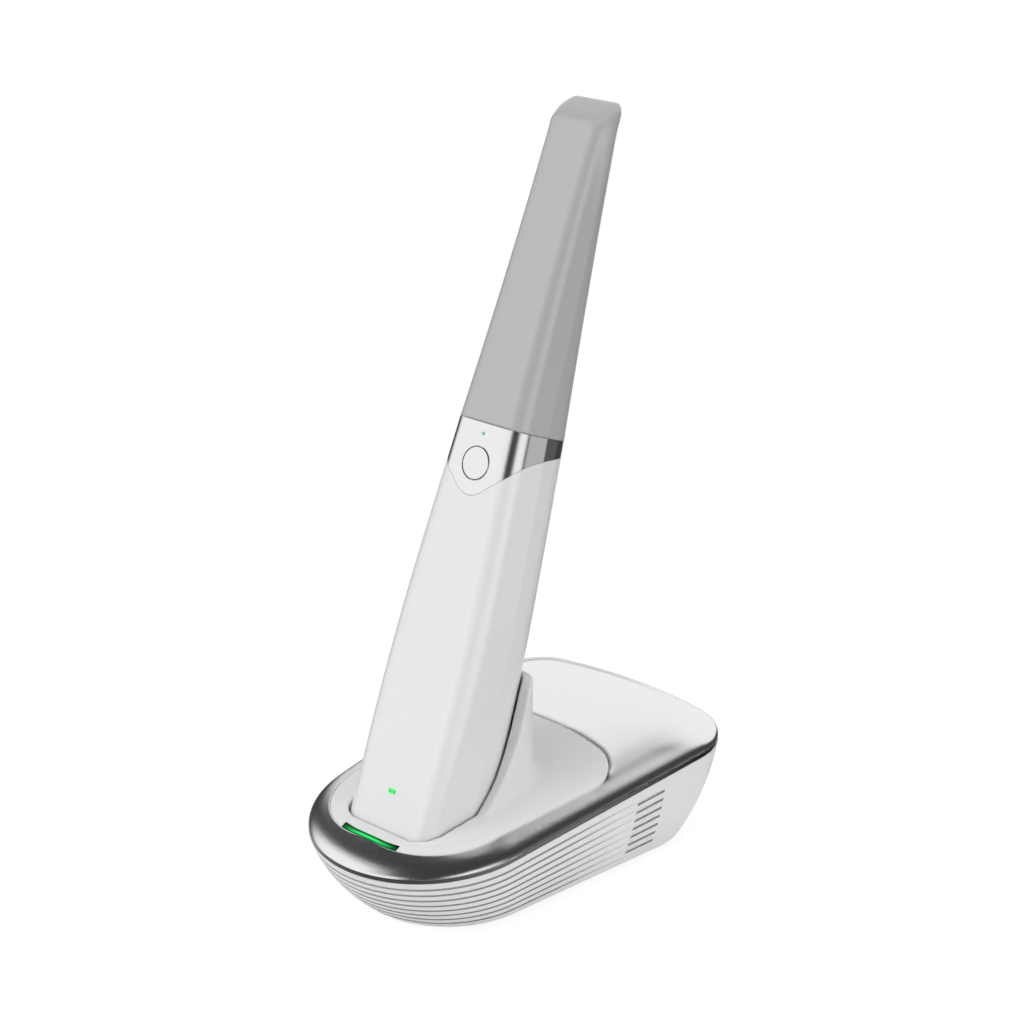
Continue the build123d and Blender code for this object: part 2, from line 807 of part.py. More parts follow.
with BuildPart() as grooves:
    for index in range(groove_count):
        groove_plane = level_plane(*housing_height((index + 1) / (groove_count + 1)))
        with BuildSketch(groove_plane):
            Rectangle(2 * base_width, 2 * base_length)
        extrude(amount=groove_width / 2, both=True)
    add(groove_core.part, mode=Mode.SUBTRACT)

with BuildPart() as lower_housing:
    add(hull.part)
    add(grooves.part, mode=Mode.SUBTRACT)
    loft([housing_level(level, housing_wall, housing_wall) for level in range(3)], mode=Mode.SUBTRACT)
    for index in range(vent_count):
        vent_plane = level_plane(*housing_height((index + 1.5) / (groove_count + 1)))
        with BuildSketch(vent_plane):
            with Locations((-half_width, vent_middle), (half_width, vent_middle)):
                Rectangle(half_width, vent_length)
        extrude(amount=vent_width / 2, both=True, mode=Mode.SUBTRACT)
    with BuildSketch(Plane.XY.offset(plate_top)):
        with Locations(plate_screw_spots):
            Circle(boss_radius)
    extrude(amount=boss_height)
    with BuildSketch(Plane.XY.offset(plate_top)):
        with Locations(plate_screw_spots):
            Circle(screw_radius + screw_gap)
    extrude(amount=boss_height, mode=Mode.SUBTRACT)
    with BuildSketch(Plane.XZ.offset(-half_length)):
        with Locations((port_spread, port_middle)):
            RectangleRounded(port_width + 2 * port_gap, port_height + 2 * port_gap, port_height / 2)
        with Locations((-port_spread, inlet_middle)):
            Circle(inlet_rim_radius + port_gap)
    extrude(amount=port_length, mode=Mode.SUBTRACT)

# Bottom plate, its feet and screws
foot_spots = paired(nose_radius - 25, 38 - half_length) + paired(half_width - 25, half_length - 26.5)
pillar_side = base_board_width / 2 - 5
pillar_spots = paired(pillar_side, base_board_front + 6) + paired(pillar_side, base_board_rear - 8)

with BuildPart() as bottom_plate:
    plate_inset = housing_wall + plate_gap
    extrude(housing_level(0, plate_inset, plate_inset), amount=plate_thickness)
    with BuildSketch(Plane.XY.offset(plate_top)):
        with Locations(pillar_spots):
            Circle(pillar_radius)
    extrude(amount=base_board_height - plate_top)
    with BuildSketch(Plane.XY.offset(base_board_height)):
        with Locations(pillar_spots):
            Circle(screw_radius + screw_gap)
    extrude(amount=-screw_grip - fit_gap, mode=Mode.SUBTRACT)
    with BuildSketch(Plane.XY.offset(foot_height)):
        with Locations(foot_spots):
            Circle(foot_radius + fit_gap)
    extrude(amount=foot_recess, mode=Mode.SUBTRACT)
    with BuildSketch(Plane.XY.offset(foot_height)):
        with Locations(plate_screw_spots):
            Circle(screw_head_radius + head_gap)
    extrude(amount=screw_head_height, mode=Mode.SUBTRACT)
    with BuildSketch(Plane.XY.offset(foot_height)):
        with Locations(plate_screw_spots):
            Circle(screw_radius + screw_gap)
    extrude(amount=plate_thickness, mode=Mode.SUBTRACT)

with BuildPart() as rubber_feet:
    with BuildSketch():
        with Locations(foot_spots):
            Circle(foot_radius)
    extrude(amount=foot_height + foot_recess)
    chamfer(rubber_feet.faces().group_by(Axis.Z)[0].edges(), foot_recess)

with BuildPart() as plate_screws:
    with BuildSketch(Plane.XY.offset(foot_height)):
        with Locations(plate_screw_spots):
            Circle(screw_head_radius)
            RegularPolygon(screw_key, 6, mode=Mode.SUBTRACT)
    extrude(amount=screw_head_height)
    with BuildSketch(Plane.XY.offset(foot_height + screw_head_height)):
        with Locations(plate_screw_spots):
            Circle(screw_radius)
    extrude(amount=plate_thickness - screw_head_height + screw_grip)

# Polished band and satin cover
with BuildPart() as trim_band:
    loft([
        rim_outline(rim_front_height - band_height, rim_rear_height - band_height, band_recess),
        rim_outline(rim_front_height, rim_rear_height, band_recess),
    ])
    loft([
        rim_outline(rim_front_height - band_height, rim_rear_height - band_height, housing_wall),
        rim_outline(rim_front_height, rim_rear_height, housing_wall),
    ], mode=Mode.SUBTRACT)

with BuildPart() as crown:
    add(crown_form(0))

with BuildPart() as top_cover:
    add(crown.part)
    add(crown_form(cover_wall), mode=Mode.SUBTRACT)
    extrude(seam_outline(0), amount=reach, mode=Mode.SUBTRACT)

# Cradle insert: dish, socket cup, lip round the wand and back rest


def lip_outline(margin, height, front_radius, rear_radius):
    """Outline round the wand on a plane that rises to the rear from a height at its front."""
    front = lip_front - margin
    rear = lip_rear + margin
    width = lip_half_width + margin
    middle = height - front * lip_slope
    with BuildSketch(Plane(origin=(0, 0, middle), x_dir=(1, 0, 0), z_dir=(0, -lip_slope, 1))) as outline:
        rounded_belt(mirrored([
            (width - front_radius, front + front_radius, front_radius),
            (width - rear_radius, rear - rear_radius, rear_radius),
        ]))
    return outline.sketch


dish_height = lip_height - dish_drop
dish_plane = Plane(
    origin=(0, seam_front, rim_front_height + dish_rise), x_dir=(1, 0, 0), z_dir=(0, -lip_slope, 1))
floor_section = (tail_station - socket_floor, *tail_section[1:])
rest_front = wand_origin.Y + 19.5
rest_rear = wand_origin.Y + 56.3

with BuildPart() as socket_cup:
    cup_sections = [floor_section, tail_section, light_section]
    loft([wand_section(section, -socket_gap - socket_wall) for section in cup_sections])
    split(bisect_by=Plane(origin=(0, lip_front, dish_height), z_dir=(0, -lip_slope, 1)), keep=Keep.BOTTOM)

with BuildPart() as socket_space:
    loft([wand_section(section, -socket_gap) for section in handle_sections])

# Front edge of the back rest, as station and share of its depth: it sweeps up from the lip
rest_sweep = [(-16.0, 0.3), (-8.0, 0.52), (-2.6, 0.667), (7.3, 0.842), (22.7, 0.963)]

with BuildPart() as back_rest:
    with BuildSketch(Plane.XY.offset(dish_height)):
        rounded_belt(mirrored([
            (rest_half_width - rest_front_radius, rest_front, rest_front_radius),
            (rest_half_width - rest_rear_radius, rest_rear - rest_rear_radius, rest_rear_radius),
        ]))
    extrude(amount=reach)
    with BuildSketch(Plane.YZ) as rest_side:
        with BuildLine():
            sweep_points = [wand_point(s, rest_depth * share) for s, share in rest_sweep]
            sweep = Spline(*sweep_points, wand_point(rest_height, rest_depth))
            Polyline(sweep @ 1, wand_point(rest_height, 2 * rest_depth), (seam_rear, dish_height), sweep @ 0)
        make_face()
        fillet(rest_side.vertices().group_by(Axis.Y)[-1], rest_corner)
    extrude(amount=reach, both=True, mode=Mode.INTERSECT)

with BuildPart() as light_slot:
    add(crown.part)
    extrude(seam_outline(0), amount=reach, mode=Mode.INTERSECT)
    extrude(seam_outline(light_bar_width + light_bar_gap), amount=reach, mode=Mode.SUBTRACT)
    with Locations((0, seam_front, light_bar_foot - light_bar_gap)):
        Box(light_bar_length + 2 * light_bar_gap, seam_length, reach, align=FLOOR, mode=Mode.INTERSECT)

# The insert is flatter than the crown: its top is cut down to the dish round the wand
with BuildPart() as insert_form:
    add(crown.part)
    split(bisect_by=dish_plane, keep=Keep.BOTTOM)

with BuildPart() as insert_core:
    add(crown_form(insert_wall))
    split(bisect_by=dish_plane.offset(-insert_wall), keep=Keep.BOTTOM)

with BuildPart() as cradle_insert:
    add(insert_form.part)
    add(insert_core.part, mode=Mode.SUBTRACT)
    loft([lip_outline(dish_margin, dish_height, 20, 16), lip_outline(0, lip_height, 8.5, 13)])
    add(back_rest.part)
    extrude(seam_outline(seam_gap), amount=reach, mode=Mode.INTERSECT)
    add(socket_cup.part)
    add(socket_space.part, mode=Mode.SUBTRACT)
    add(light_slot.part, mode=Mode.SUBTRACT)
    with BuildSketch(station(tail_station)):
        with Locations(contact_spots):
            Circle(pin_radius + screw_gap)
    extrude(amount=-socket_floor, mode=Mode.SUBTRACT)

with BuildPart() as light_bar:
    add(crown.part)
    extrude(seam_outline(seam_gap), amount=reach, mode=Mode.INTERSECT)
    extrude(seam_outline(light_bar_width), amount=reach, mode=Mode.SUBTRACT)
    with Locations((0, seam_front, light_bar_foot)):
        Box(light_bar_length, seam_length, reach, align=FLOOR, mode=Mode.INTERSECT)

with BuildPart(Plane.XY.offset(light_bar_foot - board_thickness)) as light_board:
    with Locations((0, seam_front + (light_bar_width - light_board_width) / 2)):
        Box(light_bar_length, light_board_width, board_thickness, align=FLOOR)

block_station = tail_station - socket_floor - block_height

with BuildPart(station(block_station)) as contact_block:
    with Locations((0, contact_depth)):
        Box(block_width, block_depth, block_height, align=FLOOR)
    with Locations([(x, depth, pin_cover) for x, depth in contact_spots]):
        Cylinder(pin_radius + screw_gap, block_height, align=FLOOR, mode=Mode.SUBTRACT)

with BuildPart(station(block_station + pin_cover)) as dock_contacts:
    with Locations(contact_spots):
        Cylinder(pin_radius, tail_station - block_station - pin_cover, align=FLOOR)

# Cradle electronics
with BuildPart() as base_board:
    with BuildSketch(Plane.XY.offset(base_board_height)):
        with Locations((0, base_board_middle)):
            RectangleRounded(base_board_width, base_board_length, pillar_radius)
        with Locations(pillar_spots):
            Circle(screw_radius + screw_gap, mode=Mode.SUBTRACT)
    extrude(amount=board_thickness)

with BuildPart() as base_screws:
    with BuildSketch(Plane.XY.offset(board_top)):
        with Locations(pillar_spots):
            Circle(screw_head_radius)
            RegularPolygon(screw_key, 6, mode=Mode.SUBTRACT)
    extrude(amount=screw_head_height)
    with BuildSketch(Plane.XY.offset(board_top)):
        with Locations(pillar_spots):
            Circle(screw_radius)
    extrude(amount=-board_thickness - screw_grip)

base_sink_middle = base_board_front + base_sink_depth

with BuildPart(Plane.XY.offset(board_top)) as base_sink:
    with Locations((0, base_sink_middle)):
        Box(base_sink_width, base_sink_depth, base_sink_height, align=FLOOR)
    with Locations((0, base_sink_middle, base_sink_floor)):
        with GridLocations(base_sink_width / base_sink_fins, 0, base_sink_fins - 1, 1):
            Box(base_sink_slot, base_sink_depth, base_sink_height, align=FLOOR, mode=Mode.SUBTRACT)

radio_size = (20.0, 14.0, 2.6)

with BuildPart(Plane.XY.offset(board_top)) as radio_module:
    with Locations((0, base_board_rear - radio_size[1])):
        Box(*radio_size, align=FLOOR)

with BuildPart() as data_port:
    with BuildSketch(Plane.XZ.offset(-port_rear)):
        with Locations((port_spread, port_middle)):
            RectangleRounded(port_width, port_height, 0.47 * port_height)
    extrude(amount=port_length)
    with BuildSketch(Plane.XZ.offset(-port_rear)):
        with Locations((port_spread, port_middle)):
            RectangleRounded(port_width - 2 * port_skin, port_height - 2 * port_skin, 0.35 * port_height)
            Rectangle(port_width - port_height, port_tongue, mode=Mode.SUBTRACT)
    extrude(amount=port_depth, mode=Mode.SUBTRACT)

with BuildPart() as power_inlet:
    with BuildSketch(Plane.XZ.offset(-port_rear + inlet_setback)):
        with Locations((-port_spread, inlet_middle)):
            Rectangle(inlet_size, inlet_size)
    extrude(amount=inlet_size)
    with BuildSketch(Plane.XZ.offset(-port_rear)):
        with Locations((-port_spread, inlet_middle)):
            Circle(inlet_rim_radius)
    extrude(amount=inlet_setback)
    with BuildSketch(Plane.XZ.offset(-port_rear)):
        with Locations((-port_spread, inlet_middle)):
            Circle(inlet_radius)
            Circle(inlet_pin_radius, mode=Mode.SUBTRACT)
    extrude(amount=inlet_depth, mode=Mode.SUBTRACT)

pieces = {
    "front_shell": front_shell,
    "rear_shell": rear_shell,
    "button_collar": button_collar,
    "button_cap": button_cap,
    "button_switch": button_switch,
    "button_board": button_board,
    "status_light": status_light,
    "tail_light": tail_light,
    "main_board": main_board,
    "board_screws": board_screws,
    "wireless_module": wireless_module,
    "vibration_motor": vibration_motor,
    "battery_pack": battery_pack,
    "tail_cap": tail_cap,
    "tail_contacts": tail_contacts,
    "tail_screws": tail_screws,
    "nose_seal": nose_seal,
    "nose_barrel": nose_barrel,
    "nose_window": nose_window,
    "optics_frame": optics_frame,
    "camera_lens": camera_lens,
    "projector_lens": projector_lens,
    "camera_board": camera_board,
    "optics_sink": optics_sink,
    "tip_sleeve": tip_sleeve,
    "tip_mirror": tip_mirror,
    "lower_housing": lower_housing,
    "bottom_plate": bottom_plate,
    "rubber_feet": rubber_feet,
    "plate_screws": plate_screws,
    "trim_band": trim_band,
    "top_cover": top_cover,
    "cradle_insert": cradle_insert,
    "light_bar": light_bar,
    "light_board": light_board,
    "contact_block": contact_block,
    "dock_contacts": dock_contacts,
    "base_board": base_board,
    "base_screws": base_screws,
    "base_sink": base_sink,
    "radio_module": radio_module,
    "data_port": data_port,
    "power_inlet": power_inlet,
}

os.makedirs("parts", exist_ok=True)
for name, piece in pieces.items():
    piece.part.label = name
    export_step(piece.part, f"parts/{name}.step")
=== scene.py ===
import json
import math
import bmesh
import bpy
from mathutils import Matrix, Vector
from mathutils.bvhtree import BVHTree


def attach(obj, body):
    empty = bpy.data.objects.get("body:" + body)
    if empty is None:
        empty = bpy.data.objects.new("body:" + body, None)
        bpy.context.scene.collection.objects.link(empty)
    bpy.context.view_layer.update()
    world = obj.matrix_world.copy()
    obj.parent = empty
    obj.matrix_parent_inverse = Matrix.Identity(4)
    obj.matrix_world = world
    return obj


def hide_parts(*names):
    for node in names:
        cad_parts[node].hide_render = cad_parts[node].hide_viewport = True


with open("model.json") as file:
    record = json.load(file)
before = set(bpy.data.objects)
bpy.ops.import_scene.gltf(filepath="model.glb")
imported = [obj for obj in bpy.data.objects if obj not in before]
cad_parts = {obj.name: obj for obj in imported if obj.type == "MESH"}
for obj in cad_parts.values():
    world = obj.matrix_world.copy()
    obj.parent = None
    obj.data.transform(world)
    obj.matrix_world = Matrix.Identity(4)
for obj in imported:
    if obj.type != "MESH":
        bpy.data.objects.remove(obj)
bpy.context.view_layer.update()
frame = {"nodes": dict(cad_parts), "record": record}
print("frame loaded:", len(frame["nodes"]), "nodes")

scene = bpy.context.scene
scene.view_settings.view_transform = "Standard"

# camera, where the picture was taken from
shot = {"place": (0.53236, -0.59514, 0.45037), "turn": 41.5, "down": 21.584, "lens": 86.866, "sensor": 36.0,
        "clipStart": 0.01}
cameraData = bpy.data.cameras.new("shotCamera")
cameraData.lens = shot["lens"]
cameraData.sensor_width = shot["sensor"]
cameraData.clip_start = shot["clipStart"]
camera = bpy.data.objects.new("shotCamera", cameraData)
camera.location = shot["place"]
camera.rotation_euler = (math.radians(90 - shot["down"]), 0, math.radians(shot["turn"]))
scene.collection.objects.link(camera)
scene.camera = camera
print("camera placed")


def grey(level):
    return (level, level, level)


def newMaterial(name):
    material = bpy.data.materials.new(name)
    material.use_nodes = True
    nodes = material.node_tree.nodes
    return material, nodes, material.node_tree.links, nodes["Principled BSDF"]


def mathNode(nodes, operation, second=0.0, third=0.0):
    node = nodes.new("ShaderNodeMath")
    node.operation = operation
    node.inputs[1].default_value = second
    node.inputs[2].default_value = third
    return node


def rangeNode(nodes, fromMin, fromMax, toMin=0.0, toMax=1.0, ease="LINEAR"):
    node = nodes.new("ShaderNodeMapRange")
    node.interpolation_type = ease
    values = {"From Min": fromMin, "From Max": fromMax, "To Min": toMin, "To Max": toMax}
    for label, value in values.items():
        node.inputs[label].default_value = value
    return node


def blendNode(nodes, blend="MIX"):
    node = nodes.new("ShaderNodeMix")
    node.data_type = "RGBA"
    node.blend_type = blend
    node.inputs["Factor"].default_value = 1.0
    return node


def rampStops(ramp, stops):
    elements = ramp.color_ramp.elements
    while len(elements) > 1:
        elements.remove(elements[-1])
    elements[0].position = stops[0][0]
    elements[0].color = (*grey(stops[0][1]), 1)
    for place, level in stops[1:]:
        elements.new(place).color = (*grey(level), 1)


# fine moulded skin: slow tone drift, uneven gloss and a pebbled height
skinSet = {"driftDetail": 3.0, "grainDetail": 2.0, "glossFrom": 0.3, "glossTo": 0.7, "bumpDistance": 0.0002}


def makeSkinGroup():
    group = bpy.data.node_groups.new("mouldedSkin", "ShaderNodeTree")
    sockets = [("Tone A", "INPUT", "Color"), ("Tone B", "INPUT", "Color"),
               ("Gloss Low", "INPUT", "Float"), ("Gloss High", "INPUT", "Float"),
               ("Grain Scale", "INPUT", "Float"), ("Drift Scale", "INPUT", "Float"),
               ("Color", "OUTPUT", "Color"), ("Roughness", "OUTPUT", "Float"), ("Height", "OUTPUT", "Float")]
    for label, way, kind in sockets:
        group.interface.new_socket(label, in_out=way, socket_type="NodeSocket" + kind)
    nodes, links = group.nodes, group.links
    inside, outside = nodes.new("NodeGroupInput"), nodes.new("NodeGroupOutput")
    coord = nodes.new("ShaderNodeTexCoord")
    drift, grain = nodes.new("ShaderNodeTexNoise"), nodes.new("ShaderNodeTexNoise")
    drift.inputs["Detail"].default_value = skinSet["driftDetail"]
    grain.inputs["Detail"].default_value = skinSet["grainDetail"]
    tone = blendNode(nodes)
    gloss = rangeNode(nodes, skinSet["glossFrom"], skinSet["glossTo"])
    links.new(coord.outputs["Object"], drift.inputs["Vector"])
    links.new(coord.outputs["Object"], grain.inputs["Vector"])
    links.new(inside.outputs["Drift Scale"], drift.inputs["Scale"])
    links.new(inside.outputs["Grain Scale"], grain.inputs["Scale"])
    links.new(drift.outputs["Fac"], tone.inputs["Factor"])
    links.new(inside.outputs["Tone A"], tone.inputs["A"])
    links.new(inside.outputs["Tone B"], tone.inputs["B"])
    links.new(grain.outputs["Fac"], gloss.inputs["Value"])
    links.new(inside.outputs["Gloss Low"], gloss.inputs["To Min"])
    links.new(inside.outputs["Gloss High"], gloss.inputs["To Max"])
    links.new(tone.outputs["Result"], outside.inputs["Color"])
    links.new(gloss.outputs["Result"], outside.inputs["Roughness"])
    links.new(grain.outputs["Fac"], outside.inputs["Height"])
    return group


skinGroup = makeSkinGroup()


def skinMaterial(name, look):
    material, nodes, links, shader = newMaterial(name)
    skin = nodes.new("ShaderNodeGroup")
    skin.node_tree = skinGroup
    toneA, toneB = look["tones"]
    skin.inputs["Tone A"].default_value = (*toneA, 1)
    skin.inputs["Tone B"].default_value = (*toneB, 1)
    skin.inputs["Gloss Low"].default_value, skin.inputs["Gloss High"].default_value = look["gloss"]
    skin.inputs["Grain Scale"].default_value = look["grain"]
    skin.inputs["Drift Scale"].default_value = look["drift"]
    bump = nodes.new("ShaderNodeBump")
    bump.inputs["Strength"].default_value = look["bump"]
    bump.inputs["Distance"].default_value = skinSet["bumpDistance"]
    links.new(skin.outputs["Color"], shader.inputs["Base Color"])
    links.new(skin.outputs["Roughness"], shader.inputs["Roughness"])
    links.new(skin.outputs["Height"], bump.inputs["Height"])
    links.new(bump.outputs["Normal"], shader.inputs["Normal"])
    for label, value in look.get("shader", {}).items():
        shader.inputs[label].default_value = value
    return material


metal = {"Metallic": 1.0}
glossy = {"Specular IOR Level": 1.0}
looks = {
    "white_shell": {"tones": (grey(0.79), grey(0.76)), "gloss": (0.28, 0.29),
                    "grain": 2600.0, "drift": 18.0, "bump": 0.0, "shader": glossy},
    "white_cap": {"tones": (grey(0.78), grey(0.74)), "gloss": (0.4, 0.5),
                  "grain": 2600.0, "drift": 18.0, "bump": 0.08},
    "white_housing": {"tones": (grey(0.78), grey(0.74)), "gloss": (0.46, 0.56),
                      "grain": 2200.0, "drift": 14.0, "bump": 0.1},
    "satin_chrome": {"tones": (grey(0.93), grey(0.89)), "gloss": (0.225, 0.235),
                     "grain": 420.0, "drift": 25.0, "bump": 0.001, "shader": metal},
    # bright band: its darkened metal tone stands in for the dark reflections on the polished trim, a painted
    # dark reflection
    "bright_band": {"tones": (grey(0.16), grey(0.12)), "gloss": (0.1, 0.16),
                    "grain": 3000.0, "drift": 25.0, "bump": 0.02, "shader": metal},
    "grey_tip": {"tones": (grey(0.45), grey(0.43)), "gloss": (0.28, 0.34),
                 "grain": 2400.0, "drift": 16.0, "bump": 0.003, "shader": glossy},
    "tip_mirror": {"tones": (grey(0.9), grey(0.86)), "gloss": (0.02, 0.05),
                   "grain": 900.0, "drift": 60.0, "bump": 0.0, "shader": metal},
    "black_plastic": {"tones": (grey(0.02), grey(0.03)), "gloss": (0.4, 0.5),
                      "grain": 2200.0, "drift": 20.0, "bump": 0.1},
    "lens_barrel": {"tones": (grey(0.05), grey(0.08)), "gloss": (0.25, 0.35),
                    "grain": 1800.0, "drift": 80.0, "bump": 0.05, "shader": metal},
    "shield_can": {"tones": (grey(0.62), grey(0.55)), "gloss": (0.25, 0.38),
                   "grain": 1500.0, "drift": 90.0, "bump": 0.05, "shader": metal},
    "heat_sink": {"tones": (grey(0.5), grey(0.44)), "gloss": (0.35, 0.48),
                  "grain": 1300.0, "drift": 70.0, "bump": 0.1, "shader": metal},
    "battery_wrap": {"tones": ((0.05, 0.12, 0.3), (0.04, 0.09, 0.24)), "gloss": (0.2, 0.35),
                     "grain": 900.0, "drift": 40.0, "bump": 0.12},
    "gold_contact": {"tones": ((0.83, 0.6, 0.25), (0.78, 0.54, 0.2)), "gloss": (0.18, 0.28),
                     "grain": 1600.0, "drift": 120.0, "bump": 0.03, "shader": metal},
    "steel_screw": {"tones": (grey(0.56), grey(0.48)), "gloss": (0.22, 0.36),
                    "grain": 1800.0, "drift": 140.0, "bump": 0.06, "shader": metal},
    "black_rubber": {"tones": (grey(0.025), grey(0.035)), "gloss": (0.6, 0.75),
                     "grain": 1700.0, "drift": 60.0, "bump": 0.2},
}

# housing skin with painted shade darkening the grooves between its ribs, fading out along the sides
ribs = {"foot": 0.0016, "topFront": 0.0266, "topRear": 0.0378, "half": 0.08, "count": 8,
        "core": 0.05, "edge": 0.24, "shade": 0.42, "fullTo": -0.02, "goneAt": 0.022}


def ribbedMaterial():
    material = skinMaterial("ribbed_housing", looks["white_housing"])
    nodes, links = material.node_tree.nodes, material.node_tree.links
    shader = nodes["Principled BSDF"]
    skinColor = shader.inputs["Base Color"].links[0].from_socket
    coord, split = nodes.new("ShaderNodeTexCoord"), nodes.new("ShaderNodeSeparateXYZ")
    steps = ribs["count"] + 1
    # the grooves part the wall into even steps between its foot and its sloping top
    slope = (ribs["topRear"] - ribs["topFront"]) / (2 * ribs["half"])
    top = mathNode(nodes, "MULTIPLY_ADD", slope, (ribs["topRear"] + ribs["topFront"]) / 2)
    span = mathNode(nodes, "SUBTRACT", ribs["foot"])
    level = mathNode(nodes, "SUBTRACT", ribs["foot"])
    share = mathNode(nodes, "DIVIDE")
    count = mathNode(nodes, "MULTIPLY", steps)
    apart = mathNode(nodes, "PINGPONG", 0.5)
    inside = mathNode(nodes, "COMPARE", steps / 2, ribs["count"] / 2)
    fade = mathNode(nodes, "MULTIPLY")
    # painted shade: each groove darkest at its middle, easing back to the plain skin at its edges
    groove = rangeNode(nodes, ribs["core"], ribs["edge"], ribs["shade"], 1.0, "SMOOTHSTEP")
    along = rangeNode(nodes, ribs["fullTo"], ribs["goneAt"], 1.0, 0.0, "SMOOTHSTEP")
    tint, shaded = blendNode(nodes), blendNode(nodes, "MULTIPLY")
    tint.inputs["A"].default_value = (*grey(1.0), 1)
    links.new(coord.outputs["Object"], split.inputs[0])
    links.new(split.outputs["Y"], top.inputs[0])
    links.new(top.outputs[0], span.inputs[0])
    links.new(split.outputs["Z"], level.inputs[0])
    links.new(level.outputs[0], share.inputs[0])
    links.new(span.outputs[0], share.inputs[1])
    links.new(share.outputs[0], count.inputs[0])
    links.new(count.outputs[0], apart.inputs[0])
    links.new(count.outputs[0], inside.inputs[0])
    links.new(apart.outputs[0], groove.inputs["Value"])
    links.new(split.outputs["Y"], along.inputs["Value"])
    links.new(inside.outputs[0], fade.inputs[0])
    links.new(along.outputs["Result"], fade.inputs[1])
    links.new(fade.outputs[0], tint.inputs["Factor"])
    links.new(groove.outputs["Result"], tint.inputs["B"])
    links.new(skinColor, shaded.inputs["A"])
    links.new(tint.outputs["Result"], shaded.inputs["B"])
    links.new(shaded.outputs["Result"], shader.inputs["Base Color"])
    return material


# green solder mask with paler tracks and bare pads
board = {"mask": (0.01, 0.12, 0.05), "weave": 0.8, "track": (0.02, 0.2, 0.08), "pad": (0.7, 0.6, 0.35),
         "trackScale": 160.0, "trackWidth": 0.03, "padScale": 300.0, "padScatter": 0.4, "padSize": 0.18,
         "gloss": 0.4}


def boardMaterial():
    material, nodes, links, shader = newMaterial("circuit_board")
    coord = nodes.new("ShaderNodeTexCoord")
    tracks, pads = nodes.new("ShaderNodeTexBrick"), nodes.new("ShaderNodeTexVoronoi")
    tracks.inputs["Scale"].default_value = board["trackScale"]
    tracks.inputs["Mortar Size"].default_value = board["trackWidth"]
    tracks.inputs["Color1"].default_value = (*board["mask"], 1)
    tracks.inputs["Color2"].default_value = (*[board["weave"] * part for part in board["mask"]], 1)
    tracks.inputs["Mortar"].default_value = (*board["track"], 1)
    pads.inputs["Scale"].default_value = board["padScale"]
    pads.inputs["Randomness"].default_value = board["padScatter"]
    near = mathNode(nodes, "LESS_THAN", board["padSize"])
    bare = blendNode(nodes)
    bare.inputs["B"].default_value = (*board["pad"], 1)
    links.new(coord.outputs["Object"], tracks.inputs["Vector"])
    links.new(coord.outputs["Object"], pads.inputs["Vector"])
    links.new(pads.outputs["Distance"], near.inputs[0])
    links.new(near.outputs[0], bare.inputs["Factor"])
    links.new(tracks.outputs["Color"], bare.inputs["A"])
    links.new(bare.outputs["Result"], shader.inputs["Base Color"])
    links.new(near.outputs[0], shader.inputs["Metallic"])
    shader.inputs["Roughness"].default_value = board["gloss"]
    return material


# window glass with a faint smear in its gloss
glass = {"smearScale": 120.0, "glossLow": 0.01, "glossHigh": 0.06, "tint": (0.9, 0.95, 0.94)}


def glassMaterial():
    material, nodes, links, shader = newMaterial("clear_glass")
    coord, smear = nodes.new("ShaderNodeTexCoord"), nodes.new("ShaderNodeTexNoise")
    gloss = rangeNode(nodes, 0.0, 1.0, glass["glossLow"], glass["glossHigh"])
    smear.inputs["Scale"].default_value = glass["smearScale"]
    links.new(coord.outputs["Object"], smear.inputs["Vector"])
    links.new(smear.outputs["Fac"], gloss.inputs["Value"])
    links.new(gloss.outputs["Result"], shader.inputs["Roughness"])
    shader.inputs["Base Color"].default_value = (*glass["tint"], 1)
    shader.inputs["Transmission Weight"].default_value = 1.0
    return material


# lit green guides: bright in the middle, falling away to their ends along X
guide = {"cloudScale": 400.0, "cloudShare": 0.12, "gloss": 0.3, "shine": 0.1}
lightLooks = {
    "light_bar": {"middle": (0.006, 0.6, 0.09), "ends": (0.0, 0.04, 0.004), "hold": 0.3, "reach": 0.0128,
                  "strength": 0.9,
                  "core": {"flat": 0.0055, "centre": -0.039, "inner": 0.02755, "outer": 0.02985,
                           "stops": [(0.0, 0.04), (0.35, 0.12), (0.6, 1.0), (0.8, 1.0), (1.0, 0.1)]}},
    "tail_light": {"middle": (0.04, 0.8, 0.15), "ends": (0.01, 0.45, 0.06), "hold": 0.3, "reach": 0.0018,
                   "strength": 0.4},
    "status_light": {"middle": (0.1, 0.58, 0.26), "ends": (0.05, 0.4, 0.15), "hold": 0.3, "reach": 0.0007,
                     "strength": 0.3},
}


def stripShadeBand(nodes, links, split, away, core):
    # brightest along a line that follows the bent strip, with painted shade at its two long edges where the
    # recess walls shade it
    past, clear = mathNode(nodes, "SUBTRACT", core["flat"]), mathNode(nodes, "MAXIMUM")
    back = mathNode(nodes, "SUBTRACT", core["centre"])
    joined, reach = nodes.new("ShaderNodeCombineXYZ"), nodes.new("ShaderNodeVectorMath")
    across, band = rangeNode(nodes, core["inner"], core["outer"]), nodes.new("ShaderNodeValToRGB")
    reach.operation = "LENGTH"
    rampStops(band, core["stops"])
    links.new(away.outputs[0], past.inputs[0])
    links.new(past.outputs[0], clear.inputs[0])
    links.new(split.outputs["Y"], back.inputs[0])
    links.new(clear.outputs[0], joined.inputs["X"])
    links.new(back.outputs[0], joined.inputs["Y"])
    links.new(joined.outputs[0], reach.inputs[0])
    links.new(reach.outputs["Value"], across.inputs["Value"])
    links.new(across.outputs["Result"], band.inputs["Fac"])
    return band.outputs["Color"]


